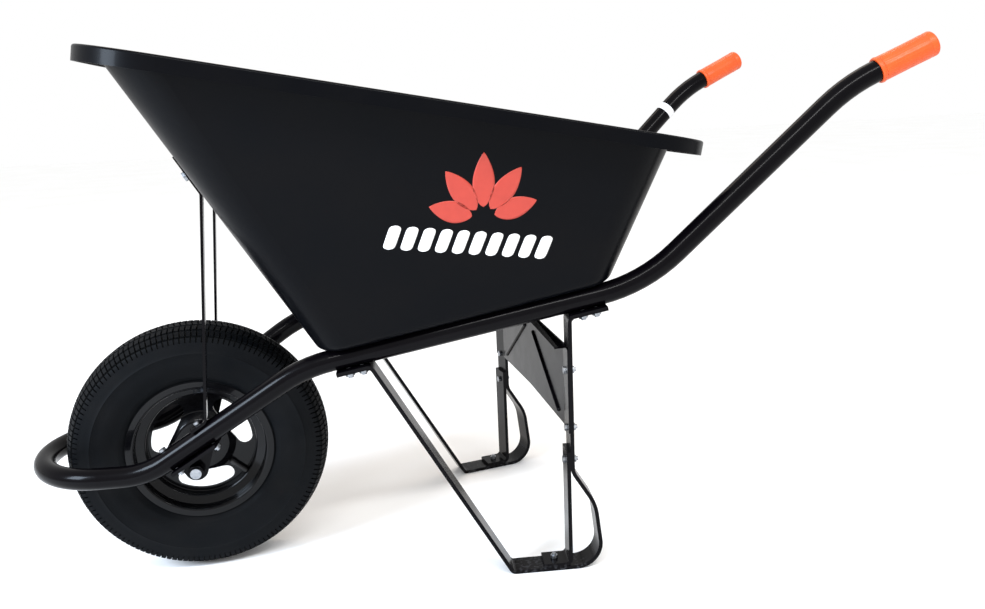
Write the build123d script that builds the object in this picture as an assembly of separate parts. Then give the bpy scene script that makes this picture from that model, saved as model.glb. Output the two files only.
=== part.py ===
"""A steel-framed garden wheelbarrow with a moulded tray and one pneumatic wheel.

The frame is +Z up, +X runs from the wheel to the handles, and Y is across. The origin is on the
floor, at the middle of the overall length and width. Everything is drawn first with X = 0 at the
axle and moved to that origin at the end. All sizes are in millimetres.

A "run" is a distance back from the axle, measured along the upright plane of one side rail.
"""
from build123d import *
from math import atan, atan2, cos, radians, sin, tan
import os

# ---- Wheel ----
TYRE_RADIUS = 200
TYRE_HALF_WIDTH = 50
TYRE_CROWN_WALL = 11
TYRE_SIDE_WALL = 8
TYRE_CROWN_DROP = 13
TUBE_SKIN = 2
TUBE_GAP = 5
TUBE_HEAD_GAP = 2
RIM_SHEET = 2.5
RIM_SEAT_RADIUS = 101
RIM_WELL_DEPTH = 15
RIM_WELL_HALF_WIDTH = 14
RIM_FLANGE = 11
RIM_HALF_WIDTH = 37
RIM_BEND = 3
BEAD_CLEARANCE = 0.4
BEAD_CUT = 4
DISC_SHEET = 3
DISC_DISH = 10
WINDOW_COUNT = 3
WINDOW_BORDER = 8
WINDOW_CHORD = 46
WINDOW_CORNER = 12
VALVE_ANGLE = -42
VALVE_DIAMETER = 8
VALVE_LENGTH = 24
VALVE_CAP_LENGTH = 9
VALVE_FLANGE = 2
VALVE_OFFSET = -6.5

# ---- Axle and bearings ----
AXLE_DIAMETER = 16
AXLE_CLEARANCE = 0.05
AXLE_PROUD = 4
HUB_HALF_LENGTH = 50
HUB_WALL = 5.5
BEARING_DIAMETER = 35
BEARING_WIDTH = 11
BEARING_LEDGE = 3
RACE_THICKNESS = 2.6
GROOVE_DEPTH = 0.8
BALL_COUNT = 9
BALL_CLEARANCE = 0.1
SPACER_WALL = 3.5
SPACER_COLLAR = 5
SPACER_COLLAR_WIDTH = 4
SPACER_NOSE = 1

# ---- Frame tube: heights of the rails are above the axle, so they follow the wheel ----
TUBE_DIAMETER = 32
TUBE_WALL = 2
TRACK_HALF = 129
SPLAY = 8.11
LOOP_GAP = 16
LOOP_HEIGHT = 3
# Each side's bends as run and height, from the wheel to the handle, then the end of the handle.
RAIL_POINTS = [(-71, LOOP_HEIGHT), (172, 152), (674, 245), (974, 517), (1093, 569)]
RAIL_RADII = [120, 210, 235, 260]
GRIP_LENGTH = 85
GRIP_WALL = 2.6
GRIP_CLEARANCE = 0.05
GRIP_COLLAR = 0.75
GRIP_COLLAR_LENGTH = 6

# ---- Legs: flat bars in the upright plane of each rail, given as runs and heights off the floor ----
BAR_WIDTH = 38
BAR = 6
FRONT_TAB = (215, 265)
FOOT_FRONT = 463
FOOT_REAR = 606
FOOT_RADIUS = 38
HEEL = (594, 106)
HEEL_RADIUS = 76
POST_RUN = 560
POST_FOOT = 162
POST_RADIUS = 27
REAR_TAB = 54
STRUT_TOP = 195
STRUT_TAB = 42
LAP_BOLT = 177
FOOT_BOLT = 24
BEND_RADIUS = 9

# ---- Stamped panel between the uprights, hung a drop below the rails ----
PANEL_SHEET = 2
PANEL_DROP = 74
PANEL_HEIGHT = 131
PANEL_PEAK = 13
PANEL_FLANGE = 14
PANEL_BOLTS = (30, 121)
RIB_RADIUS = 3.5
RIB_FOOT = (160, 22)
RIB_HEAD = (26, 18)

# ---- Tray: floor laid on the rails, walls flaring to a rim that slopes down to the handles ----
TRAY_WALL = 4
FLOOR_FRONT = 198
FLOOR_REAR = 625
# The floor's overlap beyond the rails' centre lines, at its front and rear.
FLOOR_MARGIN = (31, 21)
FLOOR_CORNER = 48
FLOOR_EDGE = 18
RIM_HEIGHT = 594
RIM_SLOPE = -11
MOUTH_FRONT = -40
MOUTH_REAR = 711
MOUTH_MARGIN = 70
MOUTH_CORNER = 75
NOSE_BOW = 16
# The rim's overhang beyond the mouth at the front, the sides and the rear.
LIP_OVERHANG = (18, 32, 44)
LIP_DEPTH = 20
LIP_ROUND = 3.5

# ---- Axle brackets and front braces ----
BRACKET_SHEET = 5
BRACKET_NOSE = 17
BRACKET_END = 11
BRACKET_REAR_BOLT = 22
BRACE_WIDTH = 22
BRACE_SHEET = 4
BRACE_HEEL = 33
BRACE_HEIGHT = 412
BRACE_TAB = 52
BRACE_STANDOFF = 0.8

# ---- Fasteners: shank, across flats, nut height, head height ----
M8 = (8, 13, 6.5, 4.5)
M6 = (6, 10, 5, 3.5)
AXLE_NUT = (AXLE_DIAMETER, AXLE_DIAMETER + 5, 11, 0)
AXLE_WASHER = (2.5, AXLE_DIAMETER + 10)
HOLE_CLEARANCE = 0.4
THREAD_CLEARANCE = 0.05
SEAT = 0.2
SHANK_PROUD = 3
TRAY_BOLTS = (232, 252, 579, 599)

TUBE_RADIUS = TUBE_DIAMETER / 2
HUB_RADIUS = BEARING_DIAMETER / 2 + HUB_WALL
RIM_WELL_RADIUS = RIM_SEAT_RADIUS - RIM_WELL_DEPTH
RIM_FLANGE_RADIUS = RIM_SEAT_RADIUS + RIM_FLANGE
BRACKET_BOLTS = (-TUBE_DIAMETER - 2, BRACKET_REAR_BOLT)
LEFT = -1
RIGHT = 1
SIDES = {"left": LEFT, "right": RIGHT}


# ---------------------------------------------------------------- shared geometry
def side_plane(side):
    """The upright plane of one side rail: local x is the run, local y is the height."""
    c = cos(radians(SPLAY))
    s = side * sin(radians(SPLAY))
    return Plane(origin=(0, side * TRACK_HALF, 0), x_dir=(c, s, 0), z_dir=(s, -c, 0))


def half_track(x):
    """Distance of a rail from the middle at a station behind the axle."""
    return TRACK_HALF + x * tan(radians(SPLAY))


def rail_points():
    """The rail's corners as run and height off the floor."""
    return [(run, TYRE_RADIUS + height) for run, height in RAIL_POINTS]


def rail_slope(run):
    """Angle of the rail above level at a run, in radians."""
    points = rail_points()
    spans = [pair for pair in zip(points, points[1:]) if run <= pair[1][0]]
    start, end = spans[0] if spans else (points[-2], points[-1])
    return atan2(end[1] - start[1], end[0] - start[0])


def rail_height(run):
    """Height of the rail's centre line at a run, with its corners left sharp."""
    points = rail_points()
    before = [point for point in points if point[0] < run] or points[:1]
    start = before[-1]
    return start[1] + (run - start[0]) * tan(rail_slope(run))


def rail_offset(run, distance):
    """Point of the side plane at a distance square above the rail's centre line."""
    angle = rail_slope(run)
    return (run - distance * sin(angle), rail_height(run) + distance * cos(angle))


def rail_frame(side, run, distance=0):
    """Plane square to the rail: x along it towards the handle, z up and away from it."""
    upright = side_plane(side)
    angle = rail_slope(run)
    origin = upright.from_local_coords(rail_offset(run, distance))
    along = upright.x_dir * cos(angle) + Vector(0, 0, sin(angle))
    up = upright.x_dir * -sin(angle) + Vector(0, 0, cos(angle))
    return Plane(origin=origin, x_dir=along, z_dir=up)


def bed_angle():
    """Slope of the plane that both rails share under the tray."""
    return atan(tan(rail_slope(TRAY_BOLTS[0])) / cos(radians(SPLAY)))


def bed_plane():
    """Plane of the tray's underside: x runs back from the axle, z is square to the floor."""
    run = TRAY_BOLTS[0]
    angle = bed_angle()
    along = Vector(cos(angle), 0, sin(angle))
    up = Vector(-sin(angle), 0, cos(angle))
    on_top = Vector(run * cos(radians(SPLAY)), 0, rail_height(run)) + up * TUBE_RADIUS
    return Plane(origin=on_top - along * (on_top.X / cos(angle)), x_dir=along, z_dir=up)


def axle_plane():
    """Plane at the wheel's centre whose z axis is the axle."""
    return Plane(origin=(0, 0, TYRE_RADIUS), x_dir=(1, 0, 0), z_dir=(0, 1, 0))


def section_plane():
    """Plane through the wheel's centre for half sections: x is across, y is the radius."""
    return Plane(origin=(0, 0, TYRE_RADIUS), x_dir=(0, 1, 0), z_dir=(1, 0, 0))


def rod(plane, radius, low, high):
    """A round rod along a plane's z axis between two heights."""
    middle = plane.location * Location((0, 0, (low + high) / 2))
    return middle * Cylinder(radius, high - low)


def ring(outer, inner, start, end):
    """A ring about the axle between two distances across from the middle."""
    low, high = sorted((start, end))
    body = rod(axle_plane(), outer, low, high)
    return body - rod(axle_plane(), inner, low, high)


def about_axle(profile):
    """Turn a half section about the axle."""
    return revolve(section_plane() * profile, Axis((0, 0, TYRE_RADIUS), (0, 1, 0)))


def bar(plane, points, radii, width, thickness):
    """A flat bar bent along a line drawn in a plane, with its width square to the plane."""
    line = FilletPolyline(*points, radius=radii)
    section = Plane(origin=line @ 0, x_dir=(0, 0, 1), z_dir=line % 0) * Rectangle(width, thickness)
    return plane.location * sweep(section, path=line)


# ---------------------------------------------------------------- fasteners
def hexagon(plane, flats, low, high):
    """A hexagonal prism along a plane's z axis, with its corners cut back to a round."""
    base = plane.location * Location((0, 0, low))
    prism = extrude(base * RegularPolygon(flats / 2, 6, major_radius=False), high - low)
    return prism & rod(plane, flats * 0.545, low, high)


def bolt(plane, grip, size, domed):
    """A bolt with its head on a plane, its shank going down through the grip and past the nut."""
    shank, flats, nut_height, head = size
    body = rod(plane, shank / 2, -grip - nut_height - SHANK_PROUD, 0)
    if not domed:
        return body + hexagon(plane, flats, 0, head)
    radius = (head ** 2 + shank ** 2) / (2 * head)
    ball = plane.location * Location((0, 0, head - radius)) * Sphere(radius)
    return body + (ball & rod(plane, shank, 0, head))


def nut(plane, grip, size):
    """The nut at the far end of a bolt's grip."""
    shank, flats, height, _ = size
    body = hexagon(plane, flats, -grip - height, -grip)
    return body - rod(plane, shank / 2 + THREAD_CLEARANCE, -grip - 2 * height, 0)


def drilled(body, planes, size, reach):
    """A body with a clearance hole for each bolt plane, cut both ways by a reach."""
    for plane in planes:
        body = body - rod(plane, size[0] / 2 + HOLE_CLEARANCE, -reach, reach)
    return body


# ---------------------------------------------------------------- where things are bolted
def tray_bolt_planes(side):
    """Head seats on the tray floor, above the rail, square to the floor."""
    bed = bed_plane()
    planes = []
    for run in TRAY_BOLTS:
        seat = rail_frame(side, run).origin + bed.z_dir * (TUBE_RADIUS + TRAY_WALL + SEAT)
        planes.append(Plane(origin=seat, x_dir=bed.x_dir, z_dir=bed.z_dir))
    return planes


def bracket_bolt_planes(side):
    """Head seats above the rail over each axle bracket; the rear one clamps the brace as well."""
    front, rear = BRACKET_BOLTS
    over_brace = TUBE_RADIUS + BRACE_SHEET + 4 * SEAT
    return rail_frame(side, front, TUBE_RADIUS + SEAT), rail_frame(side, rear, over_brace)


def upright_plane(side, run, height):
    """Plane across an upright bar at a run and height, its z axis pointing forward."""
    upright = side_plane(side)
    origin = upright.from_local_coords((run, height))
    return Plane(origin=origin, x_dir=upright.z_dir, z_dir=-upright.x_dir)


def panel_bolt_planes(side):
    """Head seats in front of the panel, at both ends."""
    front = POST_RUN - BAR / 2 - PANEL_SHEET
    return [upright_plane(side, front, panel_top() - drop) for drop in PANEL_BOLTS]


def lap_bolt_plane(side):
    """Head seat on the front face of the strut, where it laps in front of the leg."""
    return upright_plane(side, POST_RUN - 1.5 * BAR, LAP_BOLT)


def foot_bolt_plane(side):
    """Plane at the underside of the foot, its z axis down, where the strut's tab is bolted."""
    upright = side_plane(side)
    origin = upright.from_local_coords((POST_RUN - BAR - FOOT_BOLT, 0))
    return Plane(origin=origin, x_dir=upright.x_dir, z_dir=(0, 0, -1))


# ---------------------------------------------------------------- wheel
def make_tyre():
    """Hollow tyre carcass, open at the beads."""
    shoulder = TYRE_RADIUS - TYRE_CROWN_DROP
    side = TYRE_HALF_WIDTH - 6
    bead = RIM_HALF_WIDTH - RIM_SHEET - BEAD_CLEARANCE
    seat = RIM_SEAT_RADIUS + RIM_SHEET / 2 + BEAD_CLEARANCE
    heel = RIM_FLANGE_RADIUS + 1
    widest = (shoulder + heel) / 2 + 6
    toe = bead - 1.5 * TYRE_SIDE_WALL
    inner = TYRE_HALF_WIDTH - TYRE_SIDE_WALL
    inner_side = side - TYRE_SIDE_WALL
    inner_shoulder = shoulder - 7
    crown = ThreePointArc((-side, shoulder), (0, TYRE_RADIUS), (side, shoulder))
    lining = ThreePointArc(
        (-inner_side, inner_shoulder), (0, TYRE_RADIUS - TYRE_CROWN_WALL), (inner_side, inner_shoulder)
    )
    half = [
        ThreePointArc((side, shoulder), (TYRE_HALF_WIDTH, widest), (bead, heel)),
        Polyline((bead, heel), (bead, seat + BEAD_CUT), (bead - BEAD_CUT, seat), (toe, seat), (toe, heel)),
        ThreePointArc((toe, heel), (inner, widest), (inner_side, inner_shoulder)),
    ]
    other_half = [mirror(line, about=Plane.YZ) for line in half]
    return about_axle(make_face([crown, lining] + half + other_half))


def make_inner_tube():
    """Air tube that fills the tyre above the bead seats."""
    top = TYRE_RADIUS - TYRE_CROWN_WALL - TUBE_HEAD_GAP
    bottom = RIM_SEAT_RADIUS + RIM_SHEET / 2 + 1.5 * TUBE_HEAD_GAP
    height = (top - bottom) / 2
    width = TYRE_HALF_WIDTH - TYRE_SIDE_WALL - TUBE_GAP
    wall = Ellipse(width, height) - Ellipse(width - TUBE_SKIN, height - TUBE_SKIN)
    return about_axle(Location((0, (top + bottom) / 2)) * wall)


def valve_plane():
    """Plane at the wheel's centre whose z axis is the valve's radial direction."""
    angle = radians(VALVE_ANGLE)
    centre = (0, VALVE_OFFSET, TYRE_RADIUS)
    return Plane(origin=centre, x_dir=(0, 1, 0), z_dir=(cos(angle), 0, sin(angle)))


def make_rim():
    """Rolled rim with a drop centre, and a pressed disc with windows, welded as one part."""
    edge = RIM_HALF_WIDTH - RIM_SHEET / 2
    half = [
        (RIM_WELL_HALF_WIDTH, RIM_WELL_RADIUS),
        (RIM_WELL_HALF_WIDTH + 6, RIM_SEAT_RADIUS - 0.5),
        (edge, RIM_SEAT_RADIUS),
        (edge, RIM_FLANGE_RADIUS),
    ]
    outline = [(-x, radius) for x, radius in reversed(half)] + half
    barrel = about_axle(trace(FilletPolyline(*outline, radius=RIM_BEND), RIM_SHEET))
    reach = 4 * RIM_SHEET
    hole = VALVE_DIAMETER / 2 + HOLE_CLEARANCE
    barrel -= rod(valve_plane(), hole, RIM_WELL_RADIUS - reach, RIM_WELL_RADIUS + reach)
    dish = [
        (-DISC_DISH + 1, HUB_RADIUS),
        (-DISC_DISH + 1, WINDOW_CHORD - 6),
        (1, WINDOW_CHORD + 6),
        (1, RIM_WELL_RADIUS),
    ]
    disc = about_axle(trace(FilletPolyline(*dish, radius=RIM_BEND + 1), DISC_SHEET))
    return barrel + (disc - window_cutters())


def window_cutters():
    """The disc's windows: a chord on the hub side, an arc on the rim side, and round corners."""
    radius = RIM_WELL_RADIUS - WINDOW_BORDER
    hub_side = Location((0, -radius - WINDOW_CHORD)) * Rectangle(4 * radius, 2 * radius)
    window = Circle(radius) & hub_side
    window = fillet(window.vertices(), WINDOW_CORNER)
    face = Plane(origin=(0, RIM_HALF_WIDTH, TYRE_RADIUS), x_dir=(1, 0, 0), z_dir=(0, -1, 0))
    turns = [Rot(0, 0, index * 360 / WINDOW_COUNT) for index in range(WINDOW_COUNT)]
    return [extrude(face * (turn * window), 2 * RIM_HALF_WIDTH) for turn in turns]


def make_hub():
    """Hub barrel with a bearing seat bored into each end."""
    bore = BEARING_DIAMETER / 2
    hub = ring(HUB_RADIUS, bore - BEARING_LEDGE, -HUB_HALF_LENGTH, HUB_HALF_LENGTH)
    for side in SIDES.values():
        hub -= bearing_rod(bore, side)
    return hub


def bearing_rod(radius, side):
    """A rod about the axle over the width of one bearing."""
    low, high = sorted((side * HUB_HALF_LENGTH, side * (HUB_HALF_LENGTH - BEARING_WIDTH)))
    return rod(axle_plane(), radius, low, high)


def make_bearings():
    """Outer races, inner races and balls of the two bearings."""
    outer = BEARING_DIAMETER / 2
    inner = AXLE_DIAMETER / 2 + AXLE_CLEARANCE
    pitch = (outer + inner) / 2
    ball = (outer - inner) / 2 - RACE_THICKNESS + GROOVE_DEPTH
    outer_races, inner_races, balls = [], [], []
    for side in SIDES.values():
        middle = side * (HUB_HALF_LENGTH - BEARING_WIDTH / 2)
        groove = about_axle(Location((middle, pitch)) * Circle(ball + BALL_CLEARANCE))
        outer_ring = bearing_rod(outer, side) - bearing_rod(outer - RACE_THICKNESS, side)
        inner_ring = bearing_rod(inner + RACE_THICKNESS, side) - bearing_rod(inner, side)
        outer_races.append(outer_ring - groove)
        inner_races.append(inner_ring - groove)
        for index in range(BALL_COUNT):
            angle = radians(index * 360 / BALL_COUNT)
            centre = (pitch * cos(angle), middle, TYRE_RADIUS + pitch * sin(angle))
            balls.append(Location(centre) * Sphere(ball))
    return outer_races, inner_races, balls


def make_valve():
    """Rubber valve stem with its flange inside the rim, and its cap."""
    plane = valve_plane()
    radius = VALVE_DIAMETER / 2
    well = RIM_WELL_RADIUS + RIM_SHEET / 2
    tip = well - VALVE_LENGTH
    stem = rod(plane, radius, tip, well + SHANK_PROUD)
    stem += rod(plane, radius + VALVE_FLANGE, well + SEAT, well + SHANK_PROUD)
    cap = rod(plane, radius + GRIP_COLLAR, tip - VALVE_CAP_LENGTH, tip)
    return stem, cap


# ---------------------------------------------------------------- axle group
def bracket_face():
    """Distance across from the middle to the inner face of an axle bracket."""
    return TRACK_HALF - BAR_WIDTH / 2


def make_axle():
    """Plain axle rod that reaches past the nuts."""
    half = bracket_face() + BRACKET_SHEET + AXLE_WASHER[0] + AXLE_NUT[2] + AXLE_PROUD
    return rod(axle_plane(), AXLE_DIAMETER / 2, -half, half)


def make_spacers():
    """Zinc tubes from the brackets to the inner races, each with a collar at the hub end."""
    bore = AXLE_DIAMETER / 2 + AXLE_CLEARANCE
    outer = bore + SPACER_WALL
    start = HUB_HALF_LENGTH + SPACER_NOSE
    spacers = []
    for side in SIDES.values():
        body = ring(outer, bore, side * start, side * bracket_face())
        body += ring(outer + SPACER_COLLAR, bore, side * start, side * (start + SPACER_COLLAR_WIDTH))
        body += ring(bore + RACE_THICKNESS, bore, side * HUB_HALF_LENGTH, side * start)
        spacers.append(body)
    return spacers


def make_axle_hardware():
    """Washers and nuts outside the brackets."""
    face = bracket_face() + BRACKET_SHEET
    thickness, diameter = AXLE_WASHER
    hole = AXLE_DIAMETER / 2 + HOLE_CLEARANCE
    washers, nuts = [], []
    for side in SIDES.values():
        inwards = Plane(origin=(0, side * face, TYRE_RADIUS), x_dir=(1, 0, 0), z_dir=(0, -side, 0))
        washers.append(ring(diameter / 2, hole, side * face, side * (face + thickness)))
        nuts.append(nut(inwards, thickness, AXLE_NUT))
    return washers, nuts


def make_bracket(side):
    """Angle bracket: a flange bolted under the rail, and a lug on its inner edge for the axle."""
    front, rear = BRACKET_BOLTS
    below = -TUBE_RADIUS - BRACKET_SHEET / 2
    length = rear - front + 2 * BRACKET_END
    middle = rail_frame(side, (front + rear) / 2, below)
    flange = middle.location * Box(length, BAR_WIDTH, BRACKET_SHEET)
    top = Line(rail_offset(front, below), rail_offset(rear, below))
    nose = Location((0, TYRE_RADIUS)) * Circle(BRACKET_NOSE)
    lug_middle = bracket_face() + BRACKET_SHEET / 2
    lug_plane = Plane(origin=(0, side * lug_middle, 0), x_dir=(1, 0, 0), z_dir=(0, -1, 0))
    lug = extrude(lug_plane * make_hull(nose.edges() + top.edges()), BRACKET_SHEET / 2, both=True)
    hole = AXLE_DIAMETER / 2 + AXLE_CLEARANCE
    body = lug + flange - rod(axle_plane(), hole, -2 * TRACK_HALF, 2 * TRACK_HALF)
    return drilled(body, bracket_bolt_planes(side), M6, 2 * TUBE_DIAMETER)


# ---------------------------------------------------------------- frame
def loop_front():
    """Distance forward of the axle to the centre line of the loop at its front."""
    return TYRE_RADIUS + LOOP_GAP + TUBE_RADIUS


def loop_radius():
    """Radius of the front loop, tangent to both sides and clear of the tyre in front."""
    angle = radians(SPLAY)
    return (TRACK_HALF - loop_front() * tan(angle)) * cos(angle) / (1 - sin(angle))


def side_path(side):
    """Centre line of one side of the tube, from the loop back to the handle's end."""
    angle = radians(SPLAY)
    centre = loop_radius() - loop_front()
    start = ((centre - loop_radius() * sin(angle)) / cos(angle), TYRE_RADIUS + LOOP_HEIGHT)
    return side_plane(side).location * FilletPolyline(start, *rail_points(), radius=RAIL_RADII)


def make_frame_tube():
    """One bent tube from handle to handle around the front of the wheel, with its bolt holes."""
    near = side_path(LEFT)
    far = side_path(RIGHT)
    loop = ThreePointArc(near @ 0, (-loop_front(), 0, TYRE_RADIUS + LOOP_HEIGHT), far @ 0)
    path = Wire(near.edges() + loop.edges() + far.edges())
    start = Plane(origin=path @ 0, z_dir=path % 0)
    tube = sweep(start * (Circle(TUBE_RADIUS) - Circle(TUBE_RADIUS - TUBE_WALL)), path=path)
    for side in SIDES.values():
        tube = drilled(tube, tray_bolt_planes(side), M8, 1.5 * TUBE_DIAMETER)
        tube = drilled(tube, bracket_bolt_planes(side), M6, 1.5 * TUBE_DIAMETER)
    return tube


def make_grip(side):
    """Moulded sleeve on the handle's end, with a collar at its mouth and a domed closed end."""
    end = rail_frame(side, RAIL_POINTS[-1][0])
    axis = Plane(origin=end.origin, x_dir=end.z_dir, z_dir=end.x_dir)
    bore = TUBE_RADIUS + GRIP_CLEARANCE
    outer = bore + GRIP_WALL
    sleeve = rod(axis, outer, -GRIP_LENGTH, 2 * GRIP_WALL)
    crown = sleeve.faces().sort_by(Axis(axis.origin, axis.z_dir))[-1]
    sleeve = fillet(crown.edges(), 1.8 * GRIP_WALL)
    collar = rod(axis, outer + GRIP_COLLAR, -GRIP_LENGTH, GRIP_COLLAR_LENGTH - GRIP_LENGTH)
    return sleeve + collar - rod(axis, bore, -2 * GRIP_LENGTH, 0)


# ---------------------------------------------------------------- legs
def make_leg(side):
    """One flat bar: front tab, diagonal, foot on the floor, heel, upright, and rear tab."""
    below = -TUBE_RADIUS - BAR / 2
    corner = rail_offset(POST_RUN, below)
    points = [
        rail_offset(FRONT_TAB[0], below),
        rail_offset(FRONT_TAB[1], below),
        (FOOT_FRONT, BAR / 2),
        (FOOT_REAR, BAR / 2),
        HEEL,
        (POST_RUN, POST_FOOT),
        (POST_RUN, corner[1] + (POST_RUN - corner[0]) * tan(rail_slope(POST_RUN))),
        rail_offset(POST_RUN + REAR_TAB, below),
    ]
    radii = [BEND_RADIUS, BEND_RADIUS, FOOT_RADIUS, HEEL_RADIUS, POST_RADIUS, BEND_RADIUS]
    body = bar(side_plane(side), points, radii, BAR_WIDTH, BAR)
    body = drilled(body, tray_bolt_planes(side), M8, 2 * TUBE_DIAMETER)
    body = drilled(body, panel_bolt_planes(side), M6, 4 * BAR)
    body = drilled(body, [lap_bolt_plane(side), foot_bolt_plane(side)], M6, 4 * BAR)
    return body - foot_cone(side, 0)


def make_strut(side):
    """Short flat bar that stiffens the heel: bolted in front of the upright and on the foot."""
    run = POST_RUN - BAR
    foot = 1.5 * BAR
    points = [(run, STRUT_TOP), (run, foot), (run - STRUT_TAB, foot)]
    body = bar(side_plane(side), points, [BEND_RADIUS], BAR_WIDTH, BAR)
    return drilled(body, [lap_bolt_plane(side), foot_bolt_plane(side)], M6, 4 * BAR)


def foot_cone(side, gap):
    """The flush head of the foot bolt, drawn back from the countersink by a gap."""
    shank = M6[0] / 2 + HOLE_CLEARANCE - gap
    depth = 0.8 * BAR
    base = (Align.CENTER, Align.CENTER, Align.MAX)
    cone = Cone(shank, shank + depth, depth, align=base)
    return foot_bolt_plane(side).location * Location((0, 0, -gap)) * cone


def foot_bolt(side):
    """Countersunk bolt that stops a little above the floor, and its nut on the strut's tab."""
    plane = foot_bolt_plane(side)
    length = 2 * BAR + SEAT + M6[2] + SHANK_PROUD
    body = foot_cone(side, HOLE_CLEARANCE) + rod(plane, M6[0] / 2, -length, -BAR / 2)
    return body, nut(plane, 2 * BAR + SEAT, M6)


def panel_top():
    """Height of the panel's top edge at the uprights."""
    return rail_height(POST_RUN) - PANEL_DROP


def panel_plan(side):
    """Plan of one end of the panel: its outer edge on the upright, then its fold line."""
    upright = side_plane(side)
    face = upright.from_local_coords((POST_RUN - BAR / 2 - PANEL_SHEET / 2, 0))
    inward = Vector(sin(radians(SPLAY)), -side * cos(radians(SPLAY)), 0) * (BAR_WIDTH / 2)
    outer = face - inward
    fold = face + inward
    return (outer.X, outer.Y), (fold.X, fold.Y)


def peaked_band(half, low, high):
    """Outline across the barrow between two heights, raised to a peak at the middle."""
    return Polygon(
        (-half, low),
        (0, low + PANEL_PEAK),
        (half, low),
        (half, high),
        (0, high + PANEL_PEAK),
        (-half, high),
        align=None,
    )


def make_panel():
    """Stamped plate between the uprights, peaked along both edges, with a top flange and ribs."""
    outer, fold = panel_plan(LEFT)
    other_outer, other_fold = panel_plan(RIGHT)
    top = panel_top()
    sheet = extrude(trace(Polyline(outer, fold, other_fold, other_outer), PANEL_SHEET), 2 * top)
    across = Plane(origin=(0, 0, 0), x_dir=(0, 1, 0), z_dir=(1, 0, 0))
    stamping = extrude(across * peaked_band(2 * abs(outer[1]), top - PANEL_HEIGHT, top), 2 * fold[0])
    inner = abs(fold[1]) - PANEL_SHEET
    flange = across.offset(fold[0] - PANEL_FLANGE) * peaked_band(inner, top - PANEL_SHEET, top)
    body = (sheet & stamping) + extrude(flange, PANEL_FLANGE)
    front = fold[0] - PANEL_SHEET / 2
    for side in SIDES.values():
        foot = Vector(front, side * RIB_FOOT[0], top - PANEL_HEIGHT + RIB_FOOT[1])
        head = Vector(front, side * RIB_HEAD[0], top - RIB_HEAD[1])
        body += panel_rib(foot, head)
        body = drilled(body, panel_bolt_planes(side), M6, 4 * BAR)
    return body


def panel_rib(start, end):
    """A half-round pressed rib on the panel's front face between two points."""
    length = (end - start).length
    body = rod(Plane(origin=start, z_dir=end - start), RIB_RADIUS, 0, length)
    body += Location(start) * Sphere(RIB_RADIUS)
    body += Location(end) * Sphere(RIB_RADIUS)
    in_front = Location((start.X - RIB_RADIUS, start.Y, start.Z))
    return body & (in_front * Box(2 * RIB_RADIUS, 4 * length, 4 * length))


# ---------------------------------------------------------------- tray
def rounded_outline(front, rear, half_front, half_rear, corner, bow):
    """Tray section: a trapezium with a bowed nose and round corners."""
    face = make_face(
        [
            ThreePointArc((front, -half_front), (front - bow, 0), (front, half_front)),
            Line((front, half_front), (rear, half_rear)),
            Line((rear, half_rear), (rear, -half_rear)),
            Line((rear, -half_rear), (front, -half_front)),
        ]
    )
    return fillet(face.vertices(), corner)


def floor_outline(inset):
    """Floor section in the bed plane, moved in by an inset."""
    scale = 1 / cos(bed_angle())
    front = FLOOR_FRONT * scale + inset
    rear = FLOOR_REAR * scale - inset
    half_front = half_track(FLOOR_FRONT) + FLOOR_MARGIN[0] - inset
    half_rear = half_track(FLOOR_REAR) + FLOOR_MARGIN[1] - inset
    return rounded_outline(front, rear, half_front, half_rear, FLOOR_CORNER - inset, NOSE_BOW / 2)


def mouth_outline(inset, overhang=(0, 0, 0)):
    """Mouth section in the rim plane, moved out by overhangs and then in by an inset."""
    scale = 1 / cos(radians(RIM_SLOPE))
    front = MOUTH_FRONT * scale - overhang[0] + inset
    rear = MOUTH_REAR * scale + overhang[2] - inset
    half = half_track(FLOOR_REAR) + MOUTH_MARGIN + overhang[1] - inset
    return rounded_outline(front, rear, half, half, MOUTH_CORNER + overhang[1] - inset, NOSE_BOW)


def rim_plane(drop=0):
    """Plane of the rim's top face, or one a distance below it."""
    angle = radians(RIM_SLOPE)
    up = Vector(-sin(angle), 0, cos(angle))
    top = Vector(0, 0, TYRE_RADIUS + RIM_HEIGHT)
    return Plane(origin=top - up * drop, x_dir=(cos(angle), 0, sin(angle)), z_dir=up)


def tub(inset):
    """Solid between the floor section and the mouth section, its bottom edge rounded."""
    bed = bed_plane()
    body = loft([bed * floor_outline(inset), rim_plane() * mouth_outline(inset)], ruled=True)
    if inset:
        body -= bed.location * Box(4 * FLOOR_REAR, 4 * FLOOR_REAR, 2 * inset)
    lowest = body.faces().sort_by(Axis(bed.origin, bed.z_dir))[0]
    return fillet(lowest.edges(), FLOOR_EDGE - inset)


def make_tray(outside):
    """Moulded tray: thin walls, rounded floor, and a flat rim that turns down at its edge."""
    lip = extrude(rim_plane() * mouth_outline(0, LIP_OVERHANG), -LIP_DEPTH)
    crown = lip.faces().sort_by(Axis(rim_plane().origin, rim_plane().z_dir))[-1]
    lip = fillet(crown.edges(), LIP_ROUND)
    under = extrude(rim_plane(TRAY_WALL) * mouth_outline(TRAY_WALL, LIP_OVERHANG), -LIP_DEPTH)
    body = outside + (lip - under) - tub(TRAY_WALL)
    for side in SIDES.values():
        body = drilled(body, tray_bolt_planes(side), M8, TUBE_DIAMETER)
        body = drilled(body, [brace_bolt_plane(side, outside)], M8, 4 * BAR)
    return body


# ---------------------------------------------------------------- front braces
def brace_plane(side):
    """Upright plane of a brace, square across the barrow, where its heel meets the rail."""
    beside = side * half_track(BRACE_HEEL)
    return Plane(origin=(0, beside, 0), x_dir=(1, 0, 0), z_dir=(0, -1, 0))


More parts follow.
